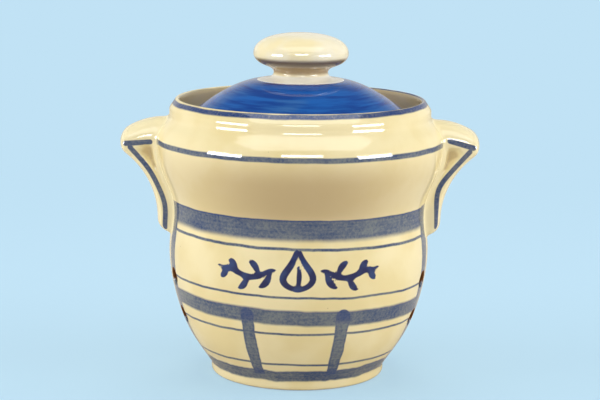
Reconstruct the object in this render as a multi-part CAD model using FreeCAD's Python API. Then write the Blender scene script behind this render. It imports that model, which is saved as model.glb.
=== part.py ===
import FreeCAD, Part
import math
import os

Vector = FreeCAD.Vector

# The pot's outside, from the table up: a radius, and how far it lies above the one before
foot_radius = 37.8
foot_rounding = 1.4
foot_height = 4.0
heel_radius = 47.2
heel_rise = 14.2
flank_radius = 53.4
flank_rise = 16.0
belly_radius = 56.3
belly_rise = 23.8
waist_radius = 55.4
waist_rise = 18.0
flare_radius = 60.2
flare_rise = 14.0
shoulder_radius = 62.5
shoulder_rise = 12.3
slope_radius = 59.4
slope_rise = 6.6
collar_radius = 56.6
collar_rise = 4.1
lip_radius = 56.15
lip_rise = 3.0
brow_inset = 1.2
brow_rise = 2.1
crest_inset = 3.1
crest_rise = 2.1

# The pot's walls and floor
wall = 4.5
lip_thickness = 4.15
mouth_rounding_drop = 2.2
floor_thickness = 6.0
foot_ring_width = 6.5
foot_recess = 1.4

# The ledge inside the collar that carries the lid
ledge_depth = 11.2
ledge_width = 6.2
ledge_thickness = 4.0
ledge_root_drop = 9.0

# Vent holes through the lower wall, beside both ears at the front and at the back
vent_radius = 3.2
vent_azimuth = 17.0
lower_vent_height = 27.0
upper_vent_height = 44.0

# The lid: a domed shell with a flat land on top for the knob
lid_gap = 1.1
lid_edge = 3.2
lid_edge_rounding = 1.2
lid_shoulder_inset = 9.5
lid_shoulder_rise = 5.6
lid_thickness = 4.2
lid_land_margin = 0.4
lid_land_rise = 10.4
lid_bearing_width = 5.0

# The knob: a foot ring, a waist and a flattened ball
knob_foot_radius = 18.6
knob_foot_edge = 0.6
knob_foot_slant = 0.4
knob_waist_radius = 11.7
knob_waist_rise = 3.2
knob_under_radius = 17.4
knob_under_rise = 3.9
knob_radius = 20.5
knob_widest_rise = 4.2
knob_top_rise = 8.9

# The ears: the outline along the middle of the width
ear_half_width = 12.0
ear_overhang = 15.1
ear_top_rise = 9.2
ear_top_angle = 60.0
ear_tip_drop = 10.3
ear_tip_bend = 7.0
ear_strap_standoff = 6.2
ear_strap_drop = 8.2
ear_toe_bend = 6.0
ear_root_depth = 3.4

# How far the outline has drawn in at both side edges, and its sharper tip there
ear_edge_top_drop = 8.0
ear_edge_top_angle = 77.0
ear_edge_reach_inset = 2.2
ear_edge_tip_drop = 3.4
ear_edge_tip_bend = 2.0
ear_edge_strap_inset = 2.8
ear_edge_strap_rise = 1.0

# The scooped pockets in both sides of an ear
pocket_depth = 4.6
pocket_border = 2.6
pocket_slope = 1.8
pocket_root_band = 1.6
pocket_end_rise = 8.0

# Places that follow from the sizes above
heel_height = foot_height + heel_rise
flank_height = heel_height + flank_rise
belly_height = flank_height + belly_rise
waist_height = belly_height + waist_rise
flare_height = waist_height + flare_rise
shoulder_height = flare_height + shoulder_rise
slope_height = shoulder_height + slope_rise
collar_height = slope_height + collar_rise
lip_height = collar_height + lip_rise
brow_height = lip_height + brow_rise
crest_height = brow_height + crest_rise
crest_radius = lip_radius - crest_inset
mouth_radius = lip_radius - lip_thickness
ledge_height = crest_height - ledge_depth
ledge_radius = mouth_radius - ledge_width
lid_radius = mouth_radius - lid_gap
lid_land_radius = knob_foot_radius + lid_land_margin
lid_land_height = ledge_height + lid_edge + lid_shoulder_rise + lid_land_rise
ear_root_radius = waist_radius - ear_root_depth

UP = Vector(0, 0, 1)
INWARD = Vector(-1, 0, 0)


def at(radius, height, y=0.0):
    return Vector(radius, y, height)


def line(start, end):
    return Part.LineSegment(start, end).toShape()


def smooth(points, first, last):
    curve = Part.BSplineCurve()
    curve.interpolate(Points=points, InitialTangent=first, FinalTangent=last)
    return curve.toShape()


def arc_about(centre, radius, first_degrees, last_degrees):
    """An arc in the plane of the profile, between two angles above +X."""
    points = []
    for share in (0.0, 0.5, 1.0):
        angle = math.radians(first_degrees + share * (last_degrees - first_degrees))
        points.append(centre + Vector(radius * math.cos(angle), 0, radius * math.sin(angle)))
    return Part.Arc(*points).toShape()


def revolved(edges):
    face = Part.Face(Part.Wire(edges))
    return face.revolve(Vector(0, 0, 0), UP, 360)


def outer_wall(extra=0.0):
    """The pot's outside from the foot to the crest of the rim, grown by a little where asked."""
    shoulder = at(shoulder_radius + extra, shoulder_height)
    wall_points = [
        at(foot_radius + extra, foot_height),
        at(heel_radius + extra, heel_height),
        at(flank_radius + extra, flank_height),
        at(belly_radius + extra, belly_height),
        at(waist_radius + extra, waist_height),
        at(flare_radius + extra, flare_height),
        shoulder,
    ]
    collar_points = [
        shoulder,
        at(slope_radius + extra, slope_height),
        at(collar_radius + extra, collar_height),
        at(lip_radius + extra, lip_height),
        at(lip_radius - brow_inset + extra, brow_height),
        at(crest_radius + extra, crest_height),
    ]
    taper = Vector(heel_radius - foot_radius, 0, heel_rise)
    return [smooth(wall_points, taper, UP), smooth(collar_points, UP, INWARD)]


def pot_envelope(extra=0.0):
    """The pot as a solid lump, for trimming what is stuck on it."""
    foot_low = at(foot_radius + extra, 0)
    foot_high = at(foot_radius + extra, foot_height)
    crest = at(crest_radius + extra, crest_height)
    return revolved([
        line(at(0, 0), foot_low), line(foot_low, foot_high), *outer_wall(extra),
        line(crest, at(0, crest_height)), line(at(0, crest_height), at(0, 0)),
    ])


def foot_edges():
    """The underside: a shallow recess, the ring it stands on and the ring's rounded edges."""
    ring_inside = foot_radius - foot_ring_width
    rounding_centre = at(foot_radius - foot_rounding, foot_rounding)
    recess_edge = at(ring_inside - foot_recess, foot_recess)
    ring_start = at(ring_inside, 0)
    ring_end = at(foot_radius - foot_rounding, 0)
    return [
        line(at(0, foot_recess), recess_edge), line(recess_edge, ring_start),
        line(ring_start, ring_end), arc_about(rounding_centre, foot_rounding, -90, 0),
        line(at(foot_radius, foot_rounding), at(foot_radius, foot_height)),
    ]


def inside_edges():
    """From the crest down the mouth, over the ledge and along the wall to the floor."""
    mouth_top = at(mouth_radius, crest_height - mouth_rounding_drop)
    ledge_outer = at(mouth_radius, ledge_height)
    ledge_inner = at(ledge_radius, ledge_height)
    ledge_under = at(ledge_radius, ledge_height - ledge_thickness)
    chamber_top = at(shoulder_radius - wall, ledge_under.z - ledge_root_drop)
    floor_edge = at(foot_radius - wall, floor_thickness)
    chamber_points = [
        chamber_top,
        at(waist_radius - wall, waist_height),
        at(belly_radius - wall, belly_height),
        at(flank_radius - wall, flank_height),
        at(heel_radius - wall, heel_height),
        floor_edge,
    ]
    taper = Vector(foot_radius - heel_radius, 0, floor_thickness - heel_height)
    return [
        smooth([at(crest_radius, crest_height), mouth_top], INWARD, UP * -1),
        line(mouth_top, ledge_outer), line(ledge_outer, ledge_inner),
        line(ledge_inner, ledge_under), line(ledge_under, chamber_top),
        smooth(chamber_points, UP * -1, taper), line(floor_edge, at(0, floor_thickness)),
    ]


def vent_hole(azimuth, height):
    along = Vector(math.cos(math.radians(azimuth)), math.sin(math.radians(azimuth)), 0)
    start = along * (foot_radius - wall) + Vector(0, 0, height)
    return Part.makeCylinder(vent_radius, shoulder_radius, start, along)


def jar():
    closing = line(at(0, floor_thickness), at(0, foot_recess))
    body = revolved(foot_edges() + outer_wall() + inside_edges() + [closing])
    holes = []
    for side in (0, 180):
        for azimuth in (side - vent_azimuth, side + vent_azimuth):
            for height in (lower_vent_height, upper_vent_height):
                holes.append(vent_hole(azimuth, height))
    return body.cut(holes)


def lid():
    seat = ledge_height
    top_edge = at(lid_radius - lid_edge_rounding, seat + lid_edge)
    shoulder = at(lid_radius - lid_shoulder_inset, top_edge.z + lid_shoulder_rise)
    land = at(lid_land_radius, lid_land_height)
    dome_out = shoulder - at(lid_radius, top_edge.z)
    land_in = Vector(land.x - shoulder.x, 0, (land.z - shoulder.z) / 3)
    bearing = at(lid_radius - lid_bearing_width, seat)
    under_shoulder = at(shoulder.x - lid_thickness / 2, shoulder.z - lid_thickness)
    under_land = at(land.x - lid_thickness, land.z - lid_thickness)
    return revolved([
        line(bearing, at(lid_radius, seat)),
        line(at(lid_radius, seat), at(lid_radius, top_edge.z - lid_edge_rounding)),
        arc_about(at(top_edge.x, top_edge.z - lid_edge_rounding), lid_edge_rounding, 0, 90),
        smooth([top_edge, shoulder, land], dome_out, land_in),
        line(land, at(0, land.z)), line(at(0, land.z), at(0, under_land.z)),
        line(at(0, under_land.z), under_land),
        smooth([under_land, under_shoulder, bearing], land_in * -1, dome_out * -1),
    ])


def lid_knob():
    foot = lid_land_height
    foot_bottom = at(knob_foot_radius - knob_foot_slant, foot)
    foot_corner = at(knob_foot_radius, foot + knob_foot_edge)
    waist = at(knob_waist_radius, foot + knob_waist_rise)
    under = at(knob_under_radius, waist.z + knob_under_rise)
    widest = at(knob_radius, under.z + knob_widest_rise)
    top = at(0, widest.z + knob_top_rise)
    return revolved([
        line(at(0, foot), foot_bottom), line(foot_bottom, foot_corner),
        smooth([foot_corner, waist], INWARD, UP), smooth([waist, under, widest], UP, UP),
        smooth([widest, top], UP, INWARD), line(top, at(0, foot)),
    ])


def between(middle, edge, sunk):
    return middle + sunk * (edge - middle)


def ear_outline(sunk):
    """The tip's and the strap's arcs; sunk runs from 0 along the middle to 1 at a side edge."""
    reach = shoulder_radius + ear_overhang - sunk * ear_edge_reach_inset
    top = shoulder_height + ear_top_rise - sunk * ear_edge_top_drop
    tip_bend = between(ear_tip_bend, ear_edge_tip_bend, sunk)
    tip = at(reach - tip_bend, top - between(ear_tip_drop, ear_edge_tip_drop, sunk))
    strap_x = waist_radius + ear_strap_standoff - sunk * ear_edge_strap_inset
    strap_z = waist_height - ear_strap_drop + sunk * ear_edge_strap_rise
    inset = strap_x - tip.x
    climb = tip.z - strap_z
    strap_bend = (inset ** 2 + climb ** 2 - tip_bend ** 2) / (2 * (tip_bend - inset))
    return tip, tip_bend, at(strap_x + strap_bend, strap_z), strap_bend, top


def ear_section(y, sunk):
    """One closed outline of the ear, each arc tangent to the next."""
    tip, tip_bend, strap, strap_bend, top = ear_outline(sunk)
    top_angle = between(ear_top_angle, ear_edge_top_angle, sunk)
    rise = math.sin(math.radians(top_angle))
    top_bend = (top - tip.z - tip_bend * rise) / (1 - rise)
    run = (top_bend - tip_bend) * math.cos(math.radians(top_angle))
    top_centre = at(tip.x - run, top - top_bend)
    strap_angle = math.degrees(math.atan2(tip.z - strap.z, tip.x - strap.x))
    toe_centre = at(strap.x - strap_bend - ear_toe_bend, strap.z)
    root_top = at(ear_root_radius, top)
    root_bottom = at(ear_root_radius, strap.z - ear_toe_bend)
    outline = Part.Wire([
        line(root_bottom, root_top), line(root_top, at(top_centre.x, top)),
        arc_about(top_centre, top_bend, 90, top_angle),
        arc_about(tip, tip_bend, top_angle, strap_angle - 180),
        arc_about(strap, strap_bend, strap_angle, 180),
        arc_about(toe_centre, ear_toe_bend, 0, -90),
        line(at(toe_centre.x, root_bottom.z), root_bottom),
    ])
    return outline.translated(Vector(0, y, 0))


def ear_lump():
    """Outlines across the width, crowned like half an ellipse, joined into one solid."""
    sections = []
    for degrees in range(-90, 91, 15):
        angle = math.radians(degrees)
        sections.append(ear_section(ear_half_width * math.sin(angle), 1 - math.cos(angle)))
    return Part.makeLoft(sections, True, False)


def pocket_outline(y, border):
    """A scoop's outline between the pot's wall and the strap, drawn in by a border."""
    _, _, strap, strap_bend, edge_top = ear_outline(1.0)
    top = edge_top - border
    end = strap.z + pocket_end_rise
    bend = strap_bend + border
    points = []
    for height in (top - border, (top - border + end) / 2, end):
        drawn_in = math.sqrt(bend ** 2 - (height - strap.z) ** 2)
        points.append(at(strap.x - drawn_in, height, y))
    inner_low = at(ear_root_radius, end, y)
    inner_high = at(ear_root_radius, top, y)
    outer_high = at(points[0].x - border / 2, top, y)
    return Part.Wire([
        line(inner_low, inner_high), line(inner_high, outer_high), line(outer_high, points[0]),
        Part.Arc(*points).toShape(), line(points[2], inner_low),
    ])


def pocket(side):
    """One scoop: wide at the ear's side face, narrower at its floor, clear of the pot's wall."""
    scoop = Part.makeLoft([
        pocket_outline(side * (ear_half_width + pocket_depth), pocket_border - pocket_slope),
        pocket_outline(side * ear_half_width, pocket_border),
        pocket_outline(side * (ear_half_width - pocket_depth), pocket_border + pocket_slope),
    ], True, True)
    return scoop.cut(pot_envelope(pocket_root_band))


def ear():
    shaped = ear_lump().cut([pocket(-1), pocket(1)])
    return shaped.cut(pot_envelope())


def export(name, shape):
    if shape.ShapeType == "Compound" and len(shape.Solids) == 1:
        shape = shape.Solids[0]
    shape.exportStep("parts/" + name + ".step")
    print(name, shape.ShapeType, "solids", len(shape.Solids), "valid", shape.isValid(),
          "volume", round(shape.Volume / 1000, 2), "cm3")


os.makedirs("parts", exist_ok=True)
right_ear = ear()
export("jar", jar())
export("left_handle", right_ear.mirror(Vector(0, 0, 0), Vector(1, 0, 0)))
export("right_handle", right_ear)
export("lid", lid())
export("lid_knob", lid_knob())
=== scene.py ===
import math

import bmesh
import bpy
import numpy as np
from mathutils import Matrix, Vector


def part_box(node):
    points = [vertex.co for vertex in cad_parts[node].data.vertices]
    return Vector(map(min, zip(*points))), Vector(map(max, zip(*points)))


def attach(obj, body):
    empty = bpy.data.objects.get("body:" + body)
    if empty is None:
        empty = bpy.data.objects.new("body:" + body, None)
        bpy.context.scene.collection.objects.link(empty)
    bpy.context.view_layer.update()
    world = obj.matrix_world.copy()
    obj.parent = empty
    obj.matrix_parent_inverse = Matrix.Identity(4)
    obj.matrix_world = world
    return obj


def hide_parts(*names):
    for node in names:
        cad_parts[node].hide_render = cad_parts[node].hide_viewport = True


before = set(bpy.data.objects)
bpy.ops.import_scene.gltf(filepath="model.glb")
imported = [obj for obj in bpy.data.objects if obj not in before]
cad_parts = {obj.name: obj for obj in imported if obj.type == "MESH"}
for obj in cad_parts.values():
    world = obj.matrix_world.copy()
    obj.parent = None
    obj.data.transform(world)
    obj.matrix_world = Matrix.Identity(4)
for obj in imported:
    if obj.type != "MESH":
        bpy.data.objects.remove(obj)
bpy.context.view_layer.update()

MM = 0.001

# The pot's outside in millimetres, from the foot up: a radius and a height for each station
foot = (37.8, 4.0)
heel = (47.2, 18.2)
flank = (53.4, 34.2)
belly = (56.3, 58.0)
waist = (55.4, 76.0)
flare = (60.2, 90.0)
shoulder = (62.5, 102.3)
slope = (59.4, 108.9)
collar = (56.5, 113.0)
lip = (56.4, 116.0)
brow = (54.95, 118.1)
crest = (53.05, 120.2)
wall = 4.5

# Foot, floor and the ledge inside the collar
foot_rounding = 1.4
foot_ring_width = 6.5
foot_recess = 1.4
floor_height = 6.0
mouth = (52.0, 118.0)
ledge = (45.8, 109.0)
ledge_under = 105.0
chamber_top = 96.0

# Vent holes: their radius, the rounding of their lips, and where they lie beside an ear
vent_radius = 3.2
vent_lip = 0.9
vent_azimuth = 17.0
vent_heights = (27.0, 44.0)
vent_overrun = 2.5
vent_sides = 40
vent_lip_points = 6

# The lid
lid_radius = 50.9
lid_edge = 3.2
lid_edge_rounding = 1.2
lid_shoulder = (41.4, 117.8)
lid_land = (19.0, 128.2)
lid_thickness = 4.2
lid_bearing = 45.9

# The knob, its foot sunk a little into the flat land on top of the lid
knob_sunk = 0.3
knob_foot = (19.0, 128.25)
knob_foot_bevel = 0.6
knob_foot_slope = 0.12
knob_waist = (11.7, 131.4)
knob_under = (17.4, 135.3)
knob_widest = (20.5, 139.5)
knob_top = 148.4

# The ears: the patch of wall that each grows from, how its root is filled out, and what counts as its scoop,
# which gets painted shade
ear_half_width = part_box("right_handle")[1].y / MM
patch_half_turn = 19
patch_heights = (56, 117.5)
patch_depths = (0.15, 3.2)
patch_columns, patch_rows = 27, 42
root_touch = 0.12
root_push = 1.5
root_reach = (1.0, 4.5)
root_pull, root_passes = 0.55, 26
skin_pull, skin_passes = 0.5, 5
scoop_facing = 0.55
scoop_depth = 1.4
scoop_clear = 0.6
scoop_passes = 8

# Meshes: steps along curves, rows along profiles, and turns of the wheel
profile_step = 0.25
stroke_step = 0.6
ear_line_step = 0.8
arc_points = 9
glaze_softening = 6
knob_softening = 4
wheel_segments = 400
wall_row = 1.1
knob_row = wall_row * 0.6
hidden_row = 3.0
sharpest_turn = math.radians(10)
wheel_weld = 0.005
ear_weld = 0.002
ear_voxel = 0.5

# Painted bands and lines: low and high edge, how soft each edge is, tilt in degrees, wander and noise seed
top_band = (68.3, 76.9, 1.3, 0.25, 0.5, 0.9, 3.1)
line_over_sprig = (64.2, 65.4, 0.25, 0.25, 1.0, 0.9, 8.7)
line_under_sprig = (44.0, 45.0, 0.22, 0.22, 1.2, 0.9, 12.3)
middle_band = (32.1, 38.8, 0.7, 0.7, 1.6, 1.0, 17.9)
line_under_middle = (27.6, 28.6, 0.22, 0.22, 0.6, 0.8, 21.4)
line_over_foot = (12.5, 13.5, 0.22, 0.22, 0.5, 0.8, 26.6)
foot_band = (4.2, 9.6, 0.5, 0.5, 0.0, 2.6, 31.2)
shoulder_line = (101.4, 103.6, 0.3, 0.3, 0.0, 0.5, 41.5)
rim_band = (118.0, 119.9, 0.35, 0.25, -0.3, 0.5, 36.8)
shoulder_line_half_turn = 81.0

# The panel's side strokes and the two uprights low on it
panel_half_turn = 73.5
panel_band_width = 7.6
panel_bottom = 6.0
panel_top = 77.0
upright_turns = (-23.0, 20.5)
upright_foot = (6.5, 8.0)
upright_top = 39.0
upright_rounding = 3.0
upright_half_width = 2.1
upright_flare = 0.025
stroke_drift = 1.6

# The sprig in the panel's middle: a bulb, and a leafy stem that waves away to either side
sprig_height = 55.3
sprig_half_width = 45
sprig_half_height = 14
stem_stops = (9.5, 16.0, 22.5, 29.0, 35.0)
stem_swing = 1.7
stem_wave = 27
stem_drop = 0.8
leaf_roots = (11.5, 16.5, 21.5, 26.5, 31.0)
leaf_length = 6.6
leaf_shrink = 0.6
boldness = 1.2
paint_flow = 0.55

# The lines brushed on the ears, as reach and height: a long one down the strap and a dash over the scoop
ear_line_half_width = 1.05
dash_half_width = ear_line_half_width * 1.1
ear_line_inset = 0.1
left_ear_line = [(72.6, 99.6), (64.9, 90.6), (60.2, 82.0), (57.7, 74.6), (57.7, 64.5)]
left_ear_dash = [(64.1, 101.9), (74.5, 101.2)]
right_ear_line = [(72.7, 99.3), (63.6, 88.9), (59.9, 83.1), (59.1, 73.1), (59.3, 66.1)]
right_ear_dash = [(64.1, 103.9), (74.2, 101.0)]

# The largest gap to paint that is kept on a mesh
largest_gap = 9.0

# The pot's inside: how far in it starts, and between which heights
inside_margin = 1.2
inside_bottom = foot_recess + 1.0
inside_top = 119.6


# Curves and profiles

def smooth(points, first=None, last=None, step=profile_step):
    """Points along the even cubic curve through the given ones, with the given end directions."""
    stops = np.array(points, dtype=float)
    chords = np.linalg.norm(np.diff(stops, axis=0), axis=1)
    count = len(stops)
    system = np.eye(count)
    wanted = np.zeros_like(stops)
    first = stops[1] - stops[0] if first is None else first
    last = stops[-1] - stops[-2] if last is None else last
    wanted[0] = np.array(first, dtype=float) / np.linalg.norm(first)
    wanted[-1] = np.array(last, dtype=float) / np.linalg.norm(last)
    for i in range(1, count - 1):
        before, after = chords[i - 1], chords[i]
        system[i, i - 1:i + 2] = (1 / before, 2 / before + 2 / after, 1 / after)
        rise_before = (stops[i] - stops[i - 1]) / before ** 2
        rise_after = (stops[i + 1] - stops[i]) / after ** 2
        wanted[i] = 3 * (rise_before + rise_after)
    slopes = np.linalg.solve(system, wanted)
    curve = [stops[0]]
    for i, chord in enumerate(chords):
        pieces = max(2, round(chord / step))
        for s in np.linspace(0, 1, pieces + 1)[1:]:
            start = (2 * s ** 3 - 3 * s ** 2 + 1) * stops[i] + (s ** 3 - 2 * s ** 2 + s) * chord * slopes[i]
            end = (3 * s ** 2 - 2 * s ** 3) * stops[i + 1] + (s ** 3 - s ** 2) * chord * slopes[i + 1]
            curve.append(start + end)
    return curve


def straight(start, end):
    """Points along a line."""
    start = np.array(start, dtype=float)
    end = np.array(end, dtype=float)
    pieces = max(1, round(np.linalg.norm(end - start) / profile_step))
    return [start + (end - start) * share for share in np.linspace(0, 1, pieces + 1)]


def arc(centre, radius, first_degrees, last_degrees):
    """Points along an arc about a centre."""
    turns = np.radians(np.linspace(first_degrees, last_degrees, arc_points))
    return [np.array((centre[0] + radius * math.cos(t), centre[1] + radius * math.sin(t))) for t in turns]


def softened(runs, passes=glaze_softening):
    """The runs joined into one profile, with every hard corner rounded as glaze rounds it."""
    joined = np.array([p for i, run in enumerate(runs) for p in (run if i == 0 else run[1:])])
    for _ in range(passes):
        joined[1:-1] = joined[1:-1] / 2 + (joined[:-2] + joined[2:]) / 4
    return joined


def rows_along(points, longest):
    """Fewer points: a new one wherever the profile has run far enough or turned far enough."""
    kept = [points[0]]
    run = turn = 0.0
    for before, here, after in zip(points, points[1:], points[2:]):
        coming, going = here - before, after - here
        run += np.linalg.norm(coming)
        turn += abs(math.atan2(coming[0] * going[1] - coming[1] * going[0], coming @ going))
        if run >= longest or turn >= sharpest_turn:
            kept.append(here)
            run = turn = 0.0
    kept.append(points[-1])
    return kept


def pot_outside():
    """The pot's outer wall, from the top of the foot to the crest of the rim."""
    taper = (heel[0] - foot[0], heel[1] - foot[1])
    lower = smooth([foot, heel, flank, belly, waist, flare, shoulder], taper, (0, 1))
    upper = smooth([shoulder, slope, collar, lip, brow, crest], (0, 1), (-1, 0))
    return lower + upper[1:]


def pot_inside():
    """The chamber wall, from under the ledge to the edge of the floor."""
    stops = [(shoulder[0] - wall, chamber_top)]
    stops += [(radius - wall, height) for radius, height in (waist, belly, flank, heel)]
    stops.append((foot[0] - wall, floor_height))
    return smooth(stops, (0, -1), (foot[0] - heel[0], floor_height - heel[1]))


outside = np.array(pot_outside())
chamber = np.array(pot_inside())


def outer_radius(height):
    return np.interp(height, outside[:, 1], outside[:, 0])


def chamber_radius(height):
    return np.interp(height, chamber[::-1, 1], chamber[::-1, 0])


def pot_profile():
    """From the middle of the recess under the foot, up over the rim and down to the middle of the floor."""
    ring_inner = foot[0] - foot_ring_width
    ring_outer = foot[0] - foot_rounding
    recess_edge = (ring_inner - foot_recess, foot_recess)
    seen = softened([
        straight((0, foot_recess), recess_edge),
        straight(recess_edge, (ring_inner, 0)),
        straight((ring_inner, 0), (ring_outer, 0)),
        arc((ring_outer, foot_rounding), foot_rounding, -90, 0),
        straight((foot[0], foot_rounding), foot),
        list(outside),
        smooth([crest, mouth], (-1, 0), (0, -1)),
    ])
    hidden = softened([
        straight(mouth, (mouth[0], ledge[1])),
        straight((mouth[0], ledge[1]), ledge),
        straight(ledge, (ledge[0], ledge_under)),
        straight((ledge[0], ledge_under), chamber[0]),
        list(chamber),
        straight(chamber[-1], (0, floor_height)),
    ])
    return rows_along(seen, wall_row)[:-1] + rows_along(hidden, hidden_row)


def lid_profile():
    """From the middle of the land, down over the dome, round the edge and back up under it."""
    seat = ledge[1]
    top_edge = (lid_radius - lid_edge_rounding, seat + lid_edge)
    edge_height = top_edge[1] - lid_edge_rounding
    dome_out = (lid_shoulder[0] - lid_radius, lid_shoulder[1] - top_edge[1])
    land_in = (lid_land[0] - lid_shoulder[0], (lid_land[1] - lid_shoulder[1]) / 3)
    under_shoulder = (lid_shoulder[0] - lid_thickness / 2, lid_shoulder[1] - lid_thickness)
    under_land = (lid_land[0] - lid_thickness, lid_land[1] - lid_thickness)
    dome = smooth([top_edge, lid_shoulder, lid_land], dome_out, land_in)
    hollow_ends = [-v for v in land_in], [-v for v in dome_out]
    hollow = smooth([under_land, under_shoulder, (lid_bearing, seat)], *hollow_ends)
    outline = softened([
        straight((0, lid_land[1]), lid_land),
        dome[::-1],
        arc((top_edge[0], edge_height), lid_edge_rounding, 90, 0),
        straight((lid_radius, edge_height), (lid_radius, seat)),
        straight((lid_radius, seat), (lid_bearing, seat)),
        hollow[::-1],
        straight(under_land, (0, under_land[1])),
    ])
    return rows_along(outline, wall_row)


def knob_profile():
    """From the middle of the knob's underside, in at the waist and out over the cap."""
    bottom = lid_land[1] - knob_sunk
    bevel_edge = (knob_foot[0] - knob_foot_bevel, bottom)
    outline = softened([
        straight((0, bottom), bevel_edge),
        straight(bevel_edge, knob_foot),
        smooth([knob_foot, knob_waist], (-1, knob_foot_slope), (0, 1)),
        smooth([knob_waist, knob_under, knob_widest], (0, 1), (0, 1)),
        smooth([knob_widest, (0, knob_top)], (0, 1), (-1, 0)),
    ], passes=knob_softening)
    return rows_along(outline, knob_row)


# Short calls for wiring node trees

class Wires:
    """One node tree, and the few ways in which its nodes are made and joined."""

    def __init__(self, tree):
        self.tree = tree

    def node(self, kind, **settings):
        made = self.tree.nodes.new(kind)
        for name, value in settings.items():
            setattr(made, name, value)
        return made

    def feed(self, socket, value):
        """Links a socket to another, or sets it to a plain value."""
        if isinstance(value, bpy.types.NodeSocket):
            self.tree.links.new(value, socket)
        else:
            socket.default_value = value

    def math(self, operation, *values, clamp=False):
        made = self.node("ShaderNodeMath", operation=operation, use_clamp=clamp)
        for socket, value in zip(made.inputs, values):
            self.feed(socket, value)
        return made.outputs[0]

    def plus(self, one, other):
        return self.math("ADD", one, other)

    def minus(self, one, other):
        return self.math("SUBTRACT", one, other)

    def times(self, *values):
        product = values[0]
        for value in values[1:]:
            product = self.math("MULTIPLY", product, value)
        return product

    def most(self, *values):
        largest = values[0]
        for value in values[1:]:
            largest = self.math("MAXIMUM", largest, value)
        return largest

    def absolute(self, value):
        return self.math("ABSOLUTE", value)

    def length(self, one, other):
        return self.math("SQRT", self.plus(self.times(one, one), self.times(other, other)))

    def without(self, value):
        return self.math("SUBTRACT", 1.0, value, clamp=True)

    def rise(self, value, low, high):
        """0 below low and 1 above high, with a smooth ramp between."""
        made = self.node("ShaderNodeMapRange", interpolation_type="SMOOTHSTEP")
        self.feed(made.inputs["Value"], value)
        self.feed(made.inputs["From Min"], low)
        self.feed(made.inputs["From Max"], high)
        return made.outputs[0]

    def fall(self, value, low, high):
        """1 below low and 0 above high, with a smooth ramp between."""
        return self.without(self.rise(value, low, high))

    def window(self, value, low, high, soft):
        """1 between low and high, with soft edges."""
        opens = self.rise(value, low - soft, low + soft)
        return self.times(opens, self.fall(value, high - soft, high + soft))

    def mix(self, share, one, other):
        made = self.node("ShaderNodeMix", data_type="RGBA")
        for index, value in ((0, share), (6, one), (7, other)):
            self.feed(made.inputs[index], value)
        return made.outputs[2]

    def vector(self, x, y, z):
        made = self.node("ShaderNodeCombineXYZ")
        for socket, value in zip(made.inputs, (x, y, z)):
            self.feed(socket, value)
        return made.outputs[0]

    def split(self, vector):
        made = self.node("ShaderNodeSeparateXYZ")
        self.feed(made.inputs[0], vector)
        return made.outputs

    def noise(self, place, scale, detail=2.0, roughness=0.5):
        made = self.node("ShaderNodeTexNoise")
        inputs = {"Vector": place, "Scale": scale, "Detail": detail, "Roughness": roughness}
        for name, value in inputs.items():
            self.feed(made.inputs[name], value)
        return made.outputs[0]

    def attribute(self, name):
        return self.node("ShaderNodeAttribute", attribute_name=name).outputs["Fac"]

    def group(self, tree, **values):
        made = self.node("ShaderNodeGroup", node_tree=tree)
        for name, value in values.items():
            self.feed(made.inputs[name], value)
        return made.outputs

    def step(self, kind, geometry, **values):
        """One more step in what is done to a geometry."""
        made = self.node(kind)
        for name, value in {"Geometry": geometry, **values}.items():
            self.feed(made.inputs[name], value)
        return made.outputs[0]


def floats(*names):
    return dict.fromkeys(names, "Float")


def new_tree(name, kind, inputs, outputs):
    """An empty node group with named inputs and outputs, and the wires to fill it."""
    tree = bpy.data.node_groups.new(name, kind)
    for in_out, sockets in (("INPUT", inputs), ("OUTPUT", outputs)):
        for label, socket_type in sockets.items():
            tree.interface.new_socket(label, in_out=in_out, socket_type="NodeSocket" + socket_type)
    wires = Wires(tree)
    return wires, wires.node("NodeGroupInput").outputs, wires.node("NodeGroupOutput").inputs


def colour(red, green, blue):
    """A colour as a paint chart gives it, from 0 to 255, as the renderer wants it."""
    shares = [value / 255 for value in (red, green, blue)]
    return tuple(s / 12.92 if s <= 0.04045 else ((s + 0.055) / 1.055) ** 2.4 for s in shares) + (1.0,)


# The potter's wheel: a profile turned about the pot's axis

def wheel_tree():
    """A grid with one column for each turn of the wheel, each spot moved to its profile point."""
    inputs = {
        "Profile": "Geometry", "Rows": "Int", "Segments": "Int",
        "Weld distance": "Float", "Glaze": "Material"}
    wires, given, result = new_tree("potters_wheel", "GeometryNodeTree", inputs, {"Turned": "Geometry"})
    grid = wires.node("GeometryNodeMeshGrid")
    wires.feed(grid.inputs["Vertices X"], wires.plus(given["Segments"], 1.0))
    wires.feed(grid.inputs["Vertices Y"], given["Rows"])
    index = wires.node("GeometryNodeInputIndex").outputs[0]
    column = wires.math("FLOOR", wires.math("DIVIDE", wires.plus(index, 0.5), given["Rows"]))
    row = wires.minus(index, wires.times(column, given["Rows"]))
    turn = wires.math("DIVIDE", wires.times(column, math.tau), given["Segments"])
    sample = wires.node("GeometryNodeSampleIndex", data_type="FLOAT_VECTOR")
    wires.feed(sample.inputs["Geometry"], given["Profile"])
    wires.feed(sample.inputs["Value"], wires.node("GeometryNodeInputPosition").outputs[0])
    wires.feed(sample.inputs["Index"], row)
    radius, _, height = wires.split(sample.outputs[0])
    side = wires.times(radius, wires.math("COSINE", turn))
    depth = wires.times(radius, wires.math("SINE", turn))
    place = wires.vector(side, depth, height)
    moved = wires.step("GeometryNodeSetPosition", grid.outputs["Mesh"], Position=place)
    welded = wires.step("GeometryNodeMergeByDistance", moved, Distance=given["Weld distance"])
    smoothed = wires.step("GeometryNodeSetShadeSmooth", welded)
    real = wires.step("GeometryNodeRealizeInstances", smoothed)
    finished = wires.step("GeometryNodeSetMaterial", real, Material=given["Glaze"])
    wires.feed(result["Turned"], finished)
    return wires.tree


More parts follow.
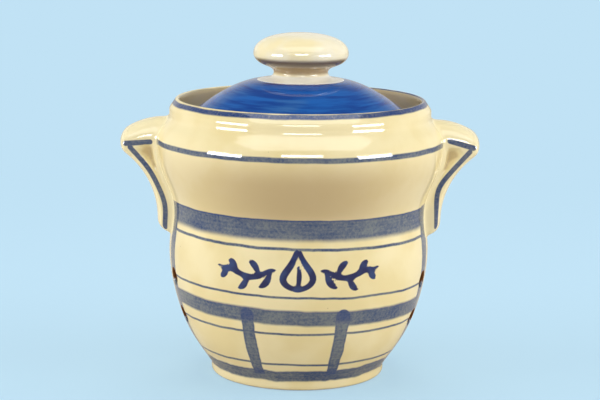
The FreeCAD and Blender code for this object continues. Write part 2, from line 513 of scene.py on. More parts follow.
def new_object(name, mesh):
    piece = bpy.data.objects.new(name, mesh)
    bpy.context.scene.collection.objects.link(piece)
    return piece


def plain_mesh(piece):
    """Applies the piece's modifiers and keeps the result as its mesh."""
    bpy.context.view_layer.update()
    graph = bpy.context.evaluated_depsgraph_get()
    made = bpy.data.meshes.new_from_object(piece.evaluated_get(graph), depsgraph=graph)
    piece.modifiers.clear()
    piece.data = made
    return made


def finished_mesh(work, name):
    """The modelled faces as a mesh, all facing outwards."""
    bmesh.ops.recalc_face_normals(work, faces=work.faces)
    mesh = bpy.data.meshes.new(name)
    work.to_mesh(mesh)
    work.free()
    return mesh


def face_outwards(mesh):
    work = bmesh.new()
    work.from_mesh(mesh)
    bmesh.ops.recalc_face_normals(work, faces=work.faces)
    work.to_mesh(mesh)
    work.free()
    mesh.shade_smooth()


def turned(name, profile, glaze):
    """A piece thrown on the wheel from its profile in millimetres."""
    line = bpy.data.meshes.new(name + "_profile")
    spots = [(radius * MM, 0, height * MM) for radius, height in profile]
    line.from_pydata(spots, [(i, i + 1) for i in range(len(spots) - 1)], [])
    piece = new_object(name, line)
    throwing = piece.modifiers.new("wheel", "NODES")
    throwing.node_group = wheel
    values = {
        "Rows": len(profile), "Segments": wheel_segments, "Weld distance": wheel_weld * MM, "Glaze": glaze}
    for socket in wheel.interface.items_tree:
        if socket.in_out == "INPUT" and socket.name in values:
            throwing[socket.identifier] = values[socket.name]
    face_outwards(plain_mesh(piece))
    return piece


# Vent holes

def vent_cutter(work, azimuth, height):
    """A trumpet through the wall, sheared to the wall's slope so that both lips come out even."""
    along = np.array((math.cos(azimuth), math.sin(azimuth), 0.0))
    across = np.array((-math.sin(azimuth), math.cos(azimuth), 0.0))
    lean = float(outer_radius(height + 1) - outer_radius(height - 1)) / 2
    outer, inner = float(outer_radius(height)), float(chamber_radius(height))
    lip_curve = [
        (vent_lip * (1 - math.sin(turn)), vent_radius + vent_lip * (1 - math.cos(turn)))
        for turn in np.radians(np.linspace(0, 90, vent_lip_points))]
    stops = [(inner - vent_overrun, vent_radius + vent_lip)]
    stops += [(inner + depth, radius) for depth, radius in lip_curve[::-1]]
    stops += [(outer - depth, radius) for depth, radius in lip_curve]
    stops.append((outer + vent_overrun, vent_radius + vent_lip))
    rings = []
    for reach, radius in stops:
        ring = []
        for turn in np.linspace(0, math.tau, vent_sides + 1)[:-1]:
            up = radius * math.sin(turn)
            level = np.array((0, 0, height + up))
            spot = along * (reach + lean * up) + across * radius * math.cos(turn) + level
            ring.append(work.verts.new(spot * MM))
        rings.append(ring)
    for lower, upper in zip(rings, rings[1:]):
        for i in range(vent_sides):
            work.faces.new((lower[i - 1], lower[i], upper[i], upper[i - 1]))
    work.faces.new(rings[0][::-1])
    work.faces.new(rings[-1])


def pierce(pot):
    """Cuts the vent holes through the lower wall and glazes their walls like the rest."""
    work = bmesh.new()
    for side in (0, 180):
        for azimuth in (side - vent_azimuth, side + vent_azimuth):
            for height in vent_heights:
                vent_cutter(work, math.radians(azimuth), height)
    cutters = new_object("vent_cutters", finished_mesh(work, "vent_cutters"))
    cut = pot.modifiers.new("vents", "BOOLEAN")
    cut.operation = "DIFFERENCE"
    cut.solver = "EXACT"
    cut.object = cutters
    pierced = plain_mesh(pot)
    glaze = next(material for material in pierced.materials if material)
    pierced.materials.clear()
    pierced.materials.append(glaze)
    pierced.polygons.foreach_set("material_index", np.zeros(len(pierced.polygons), dtype=np.int32))
    pierced.shade_smooth()
    bpy.data.objects.remove(cutters)


# Places of paint, kept on the meshes

def vectors_of(mesh, kind):
    """Every vertex's place or normal, as rows of three."""
    vectors = np.empty(len(mesh.vertices) * 3)
    mesh.vertices.foreach_get(kind, vectors)
    return vectors.reshape(-1, 3)


def keep_attribute(mesh, name, values):
    kept = mesh.attributes.new(name, "FLOAT", "POINT")
    kept.data.foreach_set("value", np.asarray(values, dtype=np.float32))


def gap_to_line(spots, line, widths):
    """How far each spot lies outside a brush stroke that follows a line."""
    nearest = np.full(len(spots), np.inf)
    for start, end, thick, next_thick in zip(line, line[1:], widths, widths[1:]):
        run = end - start
        share = np.clip((spots - start) @ run / (run @ run), 0, 1)
        gap = np.linalg.norm(spots - start - share[:, None] * run, axis=1)
        nearest = np.minimum(nearest, gap - thick - share * (next_thick - thick))
    return nearest


def brush_stroke(stops, first, last, thin, thick, swell=0.5):
    """A stroke and its half widths: thin at both ends and thickest part of the way along."""
    line = np.array(smooth(stops, first, last, step=stroke_step))
    share = np.linspace(0, 1, len(line))
    hump = np.sin(math.pi * share ** (math.log(0.5) / math.log(swell)))
    return line, boldness * (thin + (thick - thin) * hump)


def stem_level(out):
    return stem_swing * math.sin(out * math.tau / stem_wave) - stem_drop


def sprig_strokes():
    """A bulb with its stalk in the middle, and a leafy stem to either side."""
    strokes = [
        brush_stroke([(0.2, -7.0), (-6.2, -3.4), (-3.4, 2.6), (-0.9, 8.6)], (-1, -0.1), (0.3, 1), 0.7, 1.25),
        brush_stroke([(-0.2, -7.0), (6.0, -3.2), (3.5, 2.8), (0.7, 8.2)], (1, -0.1), (-0.3, 1), 0.7, 1.15),
        brush_stroke([(-0.2, -6.2), (0.4, -2.0), (0.0, 2.2)], (0.3, 1), (-0.3, 1), 0.4, 0.9),
    ]
    for side in (-1, 1):
        stem = [(side * out, stem_level(out)) for out in stem_stops]
        strokes.append(brush_stroke(stem, (side, 0.4), (side, 0.5), 0.5, 1.0))
        for k, out in enumerate(leaf_roots):
            way = 1 if k % 2 else -1
            root = stem_level(out)
            long = leaf_length - leaf_shrink * k
            middle = (side * (out + 0.25 * long), root + way * 0.66 * long)
            tip = (side * (out + 0.70 * long), root + way * long)
            leaf = [(side * out, root), middle, tip]
            strokes.append(brush_stroke(leaf, (side * 0.1, way), (side, way * 0.35), 0.35, 1.2, swell=0.6))
    return strokes


def paint_places(pot):
    """Keeps on the pot's mesh where its inside is and how far each spot is from the painted sprig."""
    spots = vectors_of(pot.data, "co") / MM
    radius = np.hypot(spots[:, 0], spots[:, 1])
    height = spots[:, 2]
    within = radius < outer_radius(height) - inside_margin
    inside = within & (height > inside_bottom) & (height < inside_top)
    keep_attribute(pot.data, "inside", inside)
    along = np.arctan2(spots[:, 0], -spots[:, 1]) * radius
    flat = np.stack([along, height - sprig_height], axis=1)
    near = ~inside & (np.abs(along) < sprig_half_width) & (np.abs(flat[:, 1]) < sprig_half_height)
    gaps = np.array([gap_to_line(flat[near], line, widths) for line, widths in sprig_strokes()])
    gap = np.full(len(spots), largest_gap)
    gap[near] = -paint_flow * np.log(np.sum(np.exp(-gaps / paint_flow), axis=0))
    keep_attribute(pot.data, "sprig_gap", np.minimum(gap, largest_gap))


# Ears

def grid_rim(rows):
    """The corners round the edge of a grid, in order."""
    return rows[0][:-1] + [row[-1] for row in rows[:-1]] + rows[-1][:0:-1] + [row[0] for row in rows[:0:-1]]


def wall_patch(work, side):
    """A closed slab of the pot's wall behind an ear, just under the pot's own surface."""
    turns = np.radians(np.linspace(-patch_half_turn, patch_half_turn, patch_columns))
    turns = turns + (0 if side > 0 else math.pi)
    heights = np.linspace(*patch_heights, patch_rows)

    def spot(turn, height, sunk):
        radius = outer_radius(height) - sunk
        return Vector((radius * math.cos(turn), radius * math.sin(turn), height)) * MM

    face, back = [
        [[work.verts.new(spot(turn, height, sunk)) for turn in turns] for height in heights]
        for sunk in patch_depths]
    for i in range(patch_rows - 1):
        for j in range(patch_columns - 1):
            work.faces.new((face[i][j], face[i][j + 1], face[i + 1][j + 1], face[i + 1][j]))
            work.faces.new((back[i][j], back[i + 1][j], back[i + 1][j + 1], back[i][j + 1]))
    face_rim, back_rim = grid_rim(face), grid_rim(back)
    for i in range(len(face_rim)):
        work.faces.new((face_rim[i - 1], back_rim[i - 1], back_rim[i], face_rim[i]))


def neighbours(mesh):
    """Every pair of vertices that share an edge, both ways round."""
    pairs = np.empty(len(mesh.edges) * 2, dtype=np.int64)
    mesh.edges.foreach_get("vertices", pairs)
    pairs = pairs.reshape(-1, 2)
    return np.concatenate([pairs, pairs[:, ::-1]])


def averaged(values, pairs, weight, passes):
    """Draws every value towards the mean of its neighbours, a few times over."""
    counts = np.bincount(pairs[:, 0], minlength=len(values))[:, None]
    for _ in range(passes):
        total = np.zeros_like(values)
        for axis in range(values.shape[1]):
            total[:, axis] = np.bincount(pairs[:, 0], values[pairs[:, 1], axis], minlength=len(values))
        values = values + weight * (total / counts - values)
    return values


def ear_lump(name, node, side):
    """The solid ear and the wall behind it, grown into one lump."""
    work = bmesh.new()
    work.from_mesh(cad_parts[node].data)
    bmesh.ops.remove_doubles(work, verts=work.verts, dist=ear_weld * MM)
    for vert in work.verts:
        reach = math.hypot(vert.co.x, vert.co.y)
        if reach / MM < outer_radius(vert.co.z / MM) + root_touch:
            vert.co.x *= 1 - root_push * MM / reach
            vert.co.y *= 1 - root_push * MM / reach
    wall_patch(work, side)
    piece = new_object(name, finished_mesh(work, name))
    remesh = piece.modifiers.new("one_lump", "REMESH")
    remesh.mode = "VOXEL"
    remesh.voxel_size = ear_voxel * MM
    plain_mesh(piece)
    return piece


def ear(name, node, side, line_stops, dash, glaze):
    """The ear with its root filled out as slip fills it, and its paint's places and its scoop's painted shade
    kept on the mesh.
    """
    piece = ear_lump(name, node, side)
    mesh = piece.data
    spots = vectors_of(mesh, "co") / MM
    pairs = neighbours(mesh)
    proud = np.hypot(spots[:, 0], spots[:, 1]) - outer_radius(spots[:, 2])
    root = np.clip((root_reach[1] - proud) / (root_reach[1] - root_reach[0]), 0, 1)[:, None]
    spots = averaged(spots, pairs, skin_pull, skin_passes)
    spots = averaged(spots, pairs, root_pull * root, root_passes)
    mesh.vertices.foreach_set("co", (spots * MM).ravel())
    mesh.update()

    flat = np.stack([side * spots[:, 0], np.abs(spots[:, 1]), spots[:, 2]], axis=1)
    edge = ear_half_width - ear_line_inset
    long_line = np.array([(x, edge, z) for x, z in smooth(line_stops, step=ear_line_step)])
    short_line = np.array([(x, edge, z) for x, z in dash])
    gap = np.minimum(
        gap_to_line(flat, long_line, np.full(len(long_line), ear_line_half_width)),
        gap_to_line(flat, short_line, np.full(len(short_line), dash_half_width)))
    keep_attribute(mesh, "line_gap", np.minimum(gap, largest_gap))

    facing = np.abs(vectors_of(mesh, "normal")[:, 1])
    scooped = (facing > scoop_facing) & (flat[:, 1] < ear_half_width - scoop_depth)
    scooped &= (proud > scoop_clear) & (flat[:, 2] < line_stops[0][1])
    # Where the scoop gets painted shade, softened towards its edges
    hollow = averaged(scooped.astype(float)[:, None], pairs, skin_pull, scoop_passes)
    keep_attribute(mesh, "hollow", hollow[:, 0])
    mesh.materials.clear()
    mesh.materials.append(glaze)
    mesh.shade_smooth()
    return piece


# Glaze and paint

cream = colour(250, 236, 188)
warm_cream = colour(243, 226, 170)
ear_cream = colour(251, 239, 195)
# Tan for painted shade, partly glaze pooled in hollows: on the neck, inside the pot and in the ears' scoops
pooled_glaze_and_shade = colour(201, 177, 132)
speck_brown = colour(120, 88, 50)
bare_clay = colour(214, 178, 132)
vent_shade = colour(112, 72, 40)
paint_pale = colour(110, 122, 132)
paint_deep = colour(38, 66, 114)
paint_wet = colour(12, 58, 122)
sprig_dark = colour(8, 22, 84)
sprig_pale = colour(36, 62, 118)
knob_white = colour(254, 247, 222)
# Painted light: the ring at the knob's foot is made whiter where the knob shades it
ring_painted_light = colour(255, 253, 240)
stem_shade = colour(152, 122, 86)
under_shade = colour(96, 80, 66)
lid_mid = colour(24, 96, 178)
lid_dark = colour(8, 64, 144)
lid_grey = colour(76, 118, 152)

fired_finish = {"Specular IOR Level": 0.0, "Coat Weight": 1.0, "Coat Roughness": 0.03, "Coat IOR": 1.6}
fired_roughness = 0.2
skin_strength = 0.5
skin_height = 0.02

# Zones of painted shade on the neck and the knob's stem and underside, of painted light on the knob's ring,
# and of thin glaze on the lid: low and high height and how soft both are, or where a change begins and ends
neck_shade_zone = (73.0, 99.0, 8.0)
stem_shade_zone = (131.3, 137.8, 1.0)
under_shade_zone = (135.2, 138.0, 0.8)
ring_light_top = (130.0, 131.0)
lid_thin_reach = (36.0, 49.0)


def ground_group():
    """The clear glaze over cream slip: clouding, specks and the skin of the surface."""
    inputs = {"Spot": "Vector", "Pale": "Color", "Warm": "Color"}
    outputs = {"Color": "Color", "Skin": "Float"}
    wires, given, result = new_tree("glaze_ground", "ShaderNodeTree", inputs, outputs)
    cloud = wires.noise(given["Spot"], 0.045, detail=3.0)
    tint = wires.mix(wires.rise(cloud, 0.38, 0.66), given["Pale"], given["Warm"])
    cells = wires.node("ShaderNodeTexVoronoi")
    wires.feed(cells.inputs["Vector"], given["Spot"])
    wires.feed(cells.inputs["Scale"], 0.32)
    lot, share, _ = wires.split(cells.outputs["Color"])
    chance = wires.math("GREATER_THAN", lot, 0.9)
    size = wires.times(share, 0.1)
    dot = wires.fall(cells.outputs["Distance"], wires.times(size, 0.5), size)
    speck = wires.times(chance, dot)
    wires.feed(result["Color"], wires.mix(wires.times(speck, 0.5), tint, speck_brown))
    peel = wires.noise(given["Spot"], 0.28)
    wires.feed(result["Skin"], wires.minus(peel, wires.times(speck, 1.5)))
    return wires.tree


def place_group():
    """Where a spot lies on the pot, in millimetres and degrees, with the back folded onto the front."""
    outputs = {"Spot": "Vector", **floats("Side", "Depth", "Height", "Radius", "Turn", "Along")}
    wires, given, result = new_tree("pot_place", "ShaderNodeTree", {"Place": "Vector"}, outputs)
    scaled = wires.node("ShaderNodeVectorMath", operation="SCALE")
    wires.feed(scaled.inputs[0], given["Place"])
    wires.feed(scaled.inputs["Scale"], 1 / MM)
    side, depth, height = wires.split(scaled.outputs[0])
    folded = wires.absolute(depth)
    turn = wires.math("ARCTAN2", side, folded)
    radius = wires.length(side, depth)
    made = {
        "Spot": scaled.outputs[0], "Side": side, "Depth": folded, "Height": height, "Radius": radius,
        "Turn": wires.times(turn, math.degrees(1)), "Along": wires.times(turn, radius)}
    for name, value in made.items():
        wires.feed(result[name], value)
    return wires.tree


def band_group():
    """One brushed band round the pot: it wanders, leans and pools along its upper edge."""
    inputs = floats(
        "Height", "Side", "Along", "Low", "High", "Low softness", "High softness", "Lean", "Wander", "Seed")
    wires, given, result = new_tree("brushed_band", "ShaderNodeTree", inputs, floats("Mask", "Pool"))
    drift = wires.node("ShaderNodeTexNoise", noise_dimensions="1D")
    wires.feed(drift.inputs["W"], wires.plus(wires.times(given["Along"], 0.06), given["Seed"]))
    wires.feed(drift.inputs["Scale"], 1.0)
    wires.feed(drift.inputs["Detail"], 3.0)
    strayed = wires.times(wires.minus(drift.outputs[0], 0.5), given["Wander"])
    leaned = wires.plus(given["Height"], wires.times(given["Side"], given["Lean"]))
    level = wires.plus(leaned, strayed)
    under = wires.minus(level, given["Low"])
    over = wires.minus(given["High"], level)
    lower = wires.rise(under, wires.times(given["Low softness"], -1.0), given["Low softness"])
    upper = wires.rise(over, wires.times(given["High softness"], -1.0), given["High softness"])
    mask = wires.times(lower, upper)
    wires.feed(result["Mask"], mask)
    wires.feed(result["Pool"], wires.times(mask, wires.fall(over, 0.2, 1.1)))
    return wires.tree


def brush_group():
    """The blue-grey paint itself: streaks along the stroke, fine mottling, and how well it covers."""
    inputs = {"Spot": "Vector", **floats("Along", "Height", "Pool")}
    outputs = {"Color": "Color", "Cover": "Float"}
    wires, given, result = new_tree("brush_colour", "ShaderNodeTree", inputs, outputs)
    drawn = wires.vector(wires.times(given["Along"], 0.05), wires.times(given["Height"], 1.1), 0.0)
    streak = wires.noise(drawn, 1.0)
    mottle = wires.noise(given["Spot"], 0.85, roughness=0.7)
    patch = wires.noise(given["Spot"], 0.07, detail=1.0)
    blend = wires.plus(wires.times(streak, 0.35), wires.times(mottle, 0.65))
    depth = wires.plus(blend, wires.times(wires.minus(patch, 0.5), 0.5))
    strong = wires.rise(depth, 0.2, 0.8)
    dry = wires.mix(strong, paint_pale, paint_deep)
    wires.feed(result["Color"], wires.mix(wires.times(given["Pool"], 0.85), dry, paint_wet))
    wires.feed(result["Cover"], wires.plus(0.92, wires.times(strong, 0.08)))
    return wires.tree


def new_material(name):
    material = bpy.data.materials.new(name)
    material.use_nodes = True
    material.node_tree.nodes.clear()
    return material, Wires(material.node_tree)


def object_place(wires):
    return wires.node("ShaderNodeTexCoord").outputs["Object"]


def new_glaze(name, pale, warm):
    """A material with its place on the pot and its ground of clouded glaze."""
    material, wires = new_material(name)
    where = wires.group(place_tree, Place=object_place(wires))
    ground = wires.group(ground_tree, Spot=where["Spot"], Pale=pale, Warm=warm)
    return material, wires, where, ground


def brushed(wires, where, mask, pool, under):
    """Blue-grey paint laid over the colour under it."""
    places = {name: where[name] for name in ("Spot", "Along", "Height")}
    brush = wires.group(brush_tree, Pool=pool, **places)
    return wires.mix(wires.times(mask, brush["Cover"]), under, brush["Color"])


def glazed(wires, tint, skin, roughness=fired_roughness):
    """The fired finish: a colour under clear glass that has flowed nearly smooth."""
    shader = wires.node("ShaderNodeBsdfPrincipled")
    for name, value in fired_finish.items():
        shader.inputs[name].default_value = value
    bump = wires.node("ShaderNodeBump")
    bump.inputs["Strength"].default_value = skin_strength
    bump.inputs["Distance"].default_value = skin_height * MM
    wires.feed(bump.inputs["Height"], skin)
    wires.feed(shader.inputs["Base Color"], tint)
    wires.feed(shader.inputs["Roughness"], roughness)
    wires.feed(shader.inputs["Normal"], bump.outputs[0])
    wires.feed(wires.node("ShaderNodeOutputMaterial").inputs["Surface"], shader.outputs[0])
    return shader


def pot_bands(wires, where):
    """Every band and line on the pot: where its paint lies, and where that paint has pooled."""
    def band(low, high, low_softness, high_softness, tilt, wander, seed):
        return wires.group(band_tree, **{
            "Height": where["Height"], "Side": where["Side"], "Along": where["Along"],
            "Low": low, "High": high, "Low softness": low_softness, "High softness": high_softness,
            "Lean": math.tan(math.radians(tilt)), "Wander": wander, "Seed": seed})

    masks, pools = [], []
    turned_by = wires.absolute(where["Turn"])
    panel = wires.fall(turned_by, panel_half_turn - 0.5, panel_half_turn + 0.5)
    for wide in (top_band, middle_band):
        made = band(*wide)
        masks.append(wires.times(made["Mask"], panel))
        pools.append(wires.times(made["Pool"], panel))
    for thin in (line_over_sprig, line_under_sprig, line_under_middle, line_over_foot):
        masks.append(wires.times(band(*thin)["Mask"], panel))
    around = band(*foot_band)
    masks.append(around["Mask"])
    pools.append(around["Pool"])
    ends = wires.fall(turned_by, shoulder_line_half_turn - 1.0, shoulder_line_half_turn)
    masks.append(wires.times(band(*shoulder_line)["Mask"], ends))
    rim = band(*rim_band)
    outer = wires.without(wires.attribute("inside"))
    speckle = wires.noise(where["Spot"], 0.9, roughness=0.7)
    patchy = wires.plus(0.9, wires.times(wires.rise(speckle, 0.30, 0.52), 0.1))
    masks.append(wires.times(rim["Mask"], outer, patchy))
    pools.append(rim["Mask"])
    return masks, pools


def pot_uprights(wires, where):
    """The two short strokes low on the panel and the long ones at both its sides."""
    turn, height = where["Turn"], where["Height"]
    drift = wires.times(wires.minus(wires.noise(where["Spot"], 0.12), 0.5), stroke_drift)
    masks, pools = [], []
    for degrees in upright_turns:
        across = wires.times(wires.minus(turn, degrees), where["Radius"], math.radians(1))
        above = wires.most(wires.minus(height, upright_top - upright_rounding), 0.0)
        half = wires.plus(upright_half_width, wires.times(height, upright_flare))
        inset = wires.minus(half, wires.length(wires.plus(across, drift), above))
        stroke = wires.times(wires.rise(inset, -0.25, 0.25), wires.rise(height, *upright_foot))
        masks.append(stroke)
        wet_top = wires.rise(height, upright_top - 7.5, upright_top - 3.5)
        wet_foot = wires.fall(height, 9.0, 11.5)
        wet_edge = wires.fall(inset, 0.2, 1.2)
        pools.append(wires.times(stroke, wires.most(wet_top, wet_foot, wires.times(wet_edge, 0.6))))
    from_side = wires.minus(wires.absolute(turn), panel_half_turn)
    across = wires.times(from_side, where["Radius"], math.radians(1))
    inset = wires.minus(panel_band_width / 2, wires.absolute(wires.plus(across, drift)))
    tall = wires.window(height, panel_bottom, panel_top, 0.6)
    side_stroke = wires.times(wires.rise(inset, -0.3, 0.3), tall)
    masks.append(side_stroke)
    pools.append(wires.times(side_stroke, wires.fall(inset, 0.2, 1.0), 0.7))
    return masks, pools


def pot_vents(wires, where):
    """The deep shade in the upper part of every vent hole. The lower lip stays bright."""
    angle = math.radians(vent_azimuth)
    inward = wires.times(where["Depth"], math.cos(angle))
    sideways = wires.times(wires.absolute(where["Side"]), math.sin(angle))
    off_axis = wires.minus(inward, sideways)
    edge = vent_radius + vent_lip
    shades = []
    for height in vent_heights:
        above = wires.minus(where["Height"], height)
        hole = wires.fall(wires.length(above, off_axis), edge, edge + 0.5)
        shades.append(wires.times(hole, wires.rise(above, -2.4, -0.6)))
    return wires.most(*shades)


def pot_glaze():
    """Cream glaze with its paint, painted shade on the neck, inside the pot and in the vents, and bare clay
    under the foot.
    """
    material, wires, where, ground = new_glaze("cream_glaze_painted", cream, warm_cream)
    inside = wires.attribute("inside")
    # Painted shade in tan: strongest on the front of the neck and fading to its sides, and over the inside
    # walls
    sideways = wires.rise(wires.absolute(where["Turn"]), 5, 70)
    neck_shade = wires.window(where["Height"], *neck_shade_zone)
    neck_shade = wires.times(neck_shade, wires.minus(0.9, wires.times(sideways, 0.7)))
    tint = wires.mix(wires.most(neck_shade, wires.times(inside, 0.95)), ground["Color"], pooled_glaze_and_shade)

    band_masks, band_pools = pot_bands(wires, where)
    upright_masks, upright_pools = pot_uprights(wires, where)
    painted = wires.times(wires.most(*band_masks, *upright_masks), wires.without(inside))
    tint = brushed(wires, where, painted, wires.most(*band_pools, *upright_pools), tint)

    sprig = wires.fall(wires.attribute("sprig_gap"), -0.18, 0.18)
    wetness = wires.rise(wires.noise(where["Spot"], 0.16, detail=1.0), 0.30, 0.56)
    tint = wires.mix(sprig, tint, wires.mix(wetness, sprig_pale, sprig_dark))

    vents = pot_vents(wires, where)
    tint = wires.mix(vents, tint, vent_shade)
    bare = wires.times(wires.fall(where["Height"], 0.25, 0.6), wires.rise(where["Radius"], 28.0, 31.0))
    tint = wires.mix(bare, tint, bare_clay)
    shader = glazed(wires, tint, ground["Skin"], roughness=wires.plus(0.18, wires.times(bare, 0.6)))
    wires.feed(shader.inputs["Coat Weight"], wires.without(vents))
    return material


def ear_glaze():
    """Cream glaze with painted shade in the scoop, partly standing for pooled glaze, and with the brushed
    lines.
    """
    material, wires, where, ground = new_glaze("cream_glaze_ears", ear_cream, cream)
    # Painted shade in tan across the scoop
    tint = wires.mix(wires.times(wires.attribute("hollow"), 0.68), ground["Color"], pooled_glaze_and_shade)
    line = wires.fall(wires.attribute("line_gap"), -0.2, 0.2)
    glazed(wires, brushed(wires, where, line, 0.45, tint), ground["Skin"])
    return material


def lid_glaze():
    """Cobalt brushed round and round the dome, thinner towards its edge, and none underneath."""
    material, wires, where, ground = new_glaze("cobalt_glaze", cream, warm_cream)
    ring = wires.vector(wires.times(where["Along"], 0.03), wires.times(where["Radius"], 0.28), 0.0)
    laps = wires.noise(ring, 1.0, detail=3.0, roughness=0.6)
    patch = wires.rise(wires.noise(where["Spot"], 0.05, detail=1.0), 0.52, 0.68)
    blue = wires.mix(wires.rise(laps, 0.36, 0.62), lid_dark, lid_mid)
    outer = wires.rise(where["Radius"], *lid_thin_reach)
    thin = wires.most(wires.times(outer, 0.7), wires.times(patch, 0.6))
    blue = wires.mix(wires.times(thin, wires.rise(laps, 0.35, 0.75)), blue, lid_grey)
    facing = wires.split(wires.node("ShaderNodeNewGeometry").outputs["Normal"])[2]
    glazed(wires, wires.mix(wires.rise(facing, 0.15, 0.3), ground["Color"], blue), ground["Skin"])
    return material


def knob_glaze():
    """The palest glaze, with painted light on the ring at the foot and painted shade on the stem and under
    the cap.
    """
    material, wires, where, ground = new_glaze("cream_glaze_knob", knob_white, cream)
    # Painted light on the ring at the foot, whiter where the knob shades it
    tint = wires.mix(wires.rise(where["Height"], *ring_light_top), ring_painted_light, ground["Color"])
    # Painted shade on the stem and under the cap
    for zone, share, shade in ((stem_shade_zone, 0.9, stem_shade), (under_shade_zone, 0.6, under_shade)):
        tint = wires.mix(wires.times(wires.window(where["Height"], *zone), share), tint, shade)
    glazed(wires, tint, ground["Skin"])
    return material


# Floor and world. The floor keeps a part of the pot's shadow, which fades out between two distances in metres

background = colour(193, 226, 245)
floor_level = 0.94
floor_grey = (0.60, 0.57, 0.52, 1.0)
floor_reach = 9.0
floor_drop = 0.0002
shadow_share = 0.4
shadow_reach = (0.12, 0.55)
ambient_white = (1.0, 0.99, 0.97, 1.0)
ambient_strength = 0.58
gloss_white = (1.0, 0.98, 0.93, 1.0)
gloss_fade = (0.12, 0.6)
horizon_gloss = 0.65
overhead_gloss = 0.15


def ray_switch(wires, kind, seen, unseen):
    """One shader for a kind of ray and another for every other."""
    choose = wires.node("ShaderNodeMixShader")
    wires.feed(choose.inputs[0], wires.node("ShaderNodeLightPath").outputs[kind])
    wires.feed(choose.inputs[1], unseen)
    wires.feed(choose.inputs[2], seen)
    return choose.outputs[0]


def plain_shader(wires, kind, tint):
    shader = wires.node(kind)
    shader.inputs["Color"].default_value = tint
    return shader


def lay_floor():
    material, wires = new_material("pale_floor")
    shaded = [share * floor_level for share in background[:3]] + [1.0]
    glow = plain_shader(wires, "ShaderNodeEmission", background)
    pale = plain_shader(wires, "ShaderNodeBsdfDiffuse", shaded)
    plain = plain_shader(wires, "ShaderNodeBsdfDiffuse", floor_grey)
    side, depth, _ = wires.split(object_place(wires))
    near = wires.fall(wires.length(side, depth), *shadow_reach)
    seen = wires.node("ShaderNodeMixShader")
    wires.feed(seen.inputs[0], wires.times(near, shadow_share))
    wires.feed(seen.inputs[1], glow.outputs[0])
    wires.feed(seen.inputs[2], pale.outputs[0])
    surface = ray_switch(wires, "Is Camera Ray", seen.outputs[0], plain.outputs[0])
    wires.feed(wires.node("ShaderNodeOutputMaterial").inputs["Surface"], surface)
    mesh = bpy.data.meshes.new("floor")
    square = ((-1, -1), (1, -1), (1, 1), (-1, 1))
    corners = [(x * floor_reach, y * floor_reach, -floor_drop) for x, y in square]
    mesh.from_pydata(corners, [], [(0, 1, 2, 3)])
    mesh.materials.append(material)
    floor = new_object("floor", mesh)


def light_world():
    world = bpy.data.worlds.new("studio")
    world.use_nodes = True
    world.node_tree.nodes.clear()
    wires = Wires(world.node_tree)
    seen = plain_shader(wires, "ShaderNodeBackground", background)
    around = plain_shader(wires, "ShaderNodeBackground", ambient_white)
    around.inputs["Strength"].default_value = ambient_strength
    mirrored = plain_shader(wires, "ShaderNodeBackground", gloss_white)
    lift = wires.split(wires.node("ShaderNodeTexCoord").outputs["Generated"])[2]
    drop = wires.times(wires.rise(lift, *gloss_fade), horizon_gloss - overhead_gloss)
    wires.feed(mirrored.inputs["Strength"], wires.minus(horizon_gloss, drop))
    surface = ray_switch(wires, "Is Glossy Ray", mirrored.outputs[0], around.outputs[0])
    surface = ray_switch(wires, "Is Camera Ray", seen.outputs[0], surface)
    wires.feed(wires.node("ShaderNodeOutputWorld").inputs["Surface"], surface)
    bpy.context.scene.world = world


# Lamps: azimuth and elevation, width and height as the pot sees them, all in degrees, and radiance

soft_lamps = {
    "soft_left": (-80.0, 20.0, 50.0, 50.0, 2.2),
    "soft_right": (80.0, 20.0, 50.0, 50.0, 2.2),
    "soft_front": (2.0, 34.0, 34.0, 38.0, 0.7),
    "soft_back": (180.0, 50.0, 34.0, 38.0, 2.0),
}
window_lamps = {
    "window_left": (-60.0, 8.5, 30.0, 15.0, 22.0),
    "window_right": (60.0, 8.5, 30.0, 15.0, 22.0),
    "window_front": (2.0, 24.0, 30.0, 14.0, 14.0),
    "window_top": (8.0, 72.0, 70.0, 40.0, 2.2),
}
lamp_distance = 1.25
lamp_aim = Vector((0, 0, 0.09))


def hang_lamp(name, azimuth, elevation, wide, tall, radiance, glints):
    """A soft box aimed at the pot. It either lights the clay or shows as a bright window in the glaze."""
    turn, lift = math.radians(azimuth), math.radians(elevation)
    away = Vector((math.sin(turn) * math.cos(lift), -math.cos(turn) * math.cos(lift), math.sin(lift)))
    lamp = bpy.data.lights.new(name, "AREA")
    lamp.shape = "RECTANGLE"
    lamp.size = 2 * lamp_distance * math.tan(math.radians(wide / 2))
    lamp.size_y = 2 * lamp_distance * math.tan(math.radians(tall / 2))
    lamp.energy = radiance * math.pi * lamp.size * lamp.size_y
    hung = new_object(name, lamp)
    hung.location = lamp_aim + away * lamp_distance
    hung.rotation_euler = (-away).to_track_quat("-Z", "Y").to_euler()
    hung.visible_camera = False
    hung.visible_glossy = glints
    hung.visible_diffuse = not glints


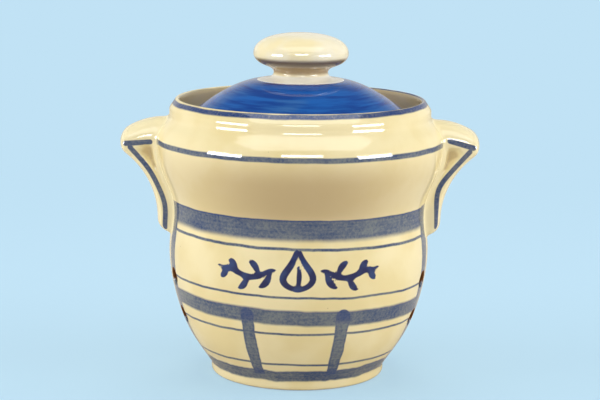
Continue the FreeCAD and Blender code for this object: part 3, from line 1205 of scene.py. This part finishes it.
def hang_lamps():
    for lamps, glints in ((soft_lamps, False), (window_lamps, True)):
        for name, values in lamps.items():
            hang_lamp(name, *values, glints)


# The camera, fitted to the outlines and the painted rings

picture_width = 600
focal_pixels = 1823.0
sensor_width = 36.0
camera_place = Vector((0.0, -0.7823, 0.2174))
camera_pitch = math.radians(10.29)
camera_roll = math.radians(0.73)
principal_offset = 0.8


def set_camera():
    right = Vector((1, 0, 0))
    up = Vector((0, math.sin(camera_pitch), math.cos(camera_pitch)))
    rolled_right = math.cos(camera_roll) * right + math.sin(camera_roll) * up
    rolled_up = math.cos(camera_roll) * up - math.sin(camera_roll) * right
    back = rolled_right.cross(rolled_up)
    lens = bpy.data.cameras.new("camera")
    lens.sensor_width = sensor_width
    lens.lens = focal_pixels * sensor_width / picture_width
    lens.shift_x = principal_offset / picture_width
    lens.clip_start = 0.01
    lens.clip_end = 50.0
    camera = new_object("camera", lens)
    turn = Matrix((rolled_right, rolled_up, back)).transposed()
    camera.matrix_world = Matrix.Translation(camera_place) @ turn.to_4x4()
    bpy.context.scene.camera = camera


# Everything together

wheel = wheel_tree()
ground_tree = ground_group()
place_tree = place_group()
band_tree = band_group()
brush_tree = brush_group()

ear_finish = ear_glaze()

pot_wall = turned("pot_wall", pot_profile(), pot_glaze())
pierce(pot_wall)
paint_places(pot_wall)
ear_left = ear("ear_left", "left_handle", -1, left_ear_line, left_ear_dash, ear_finish)
ear_right = ear("ear_right", "right_handle", 1, right_ear_line, right_ear_dash, ear_finish)
lid_dome = turned("lid_dome", lid_profile(), lid_glaze())
knob_turned = turned("knob_turned", knob_profile(), knob_glaze())

for piece, node, body, finish in (
        (pot_wall, "jar", "pot", "cream_glaze"),
        (ear_left, "left_handle", "pot", "cream_glaze"),
        (ear_right, "right_handle", "pot", "cream_glaze"),
        (lid_dome, "lid", "lid", "blue_glaze"),
        (knob_turned, "lid_knob", "lid", "knob_glaze")):
    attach(piece, body)
    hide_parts(node)

lay_floor()
light_world()
hang_lamps()
set_camera()
bpy.context.scene.view_settings.view_transform = "Standard"
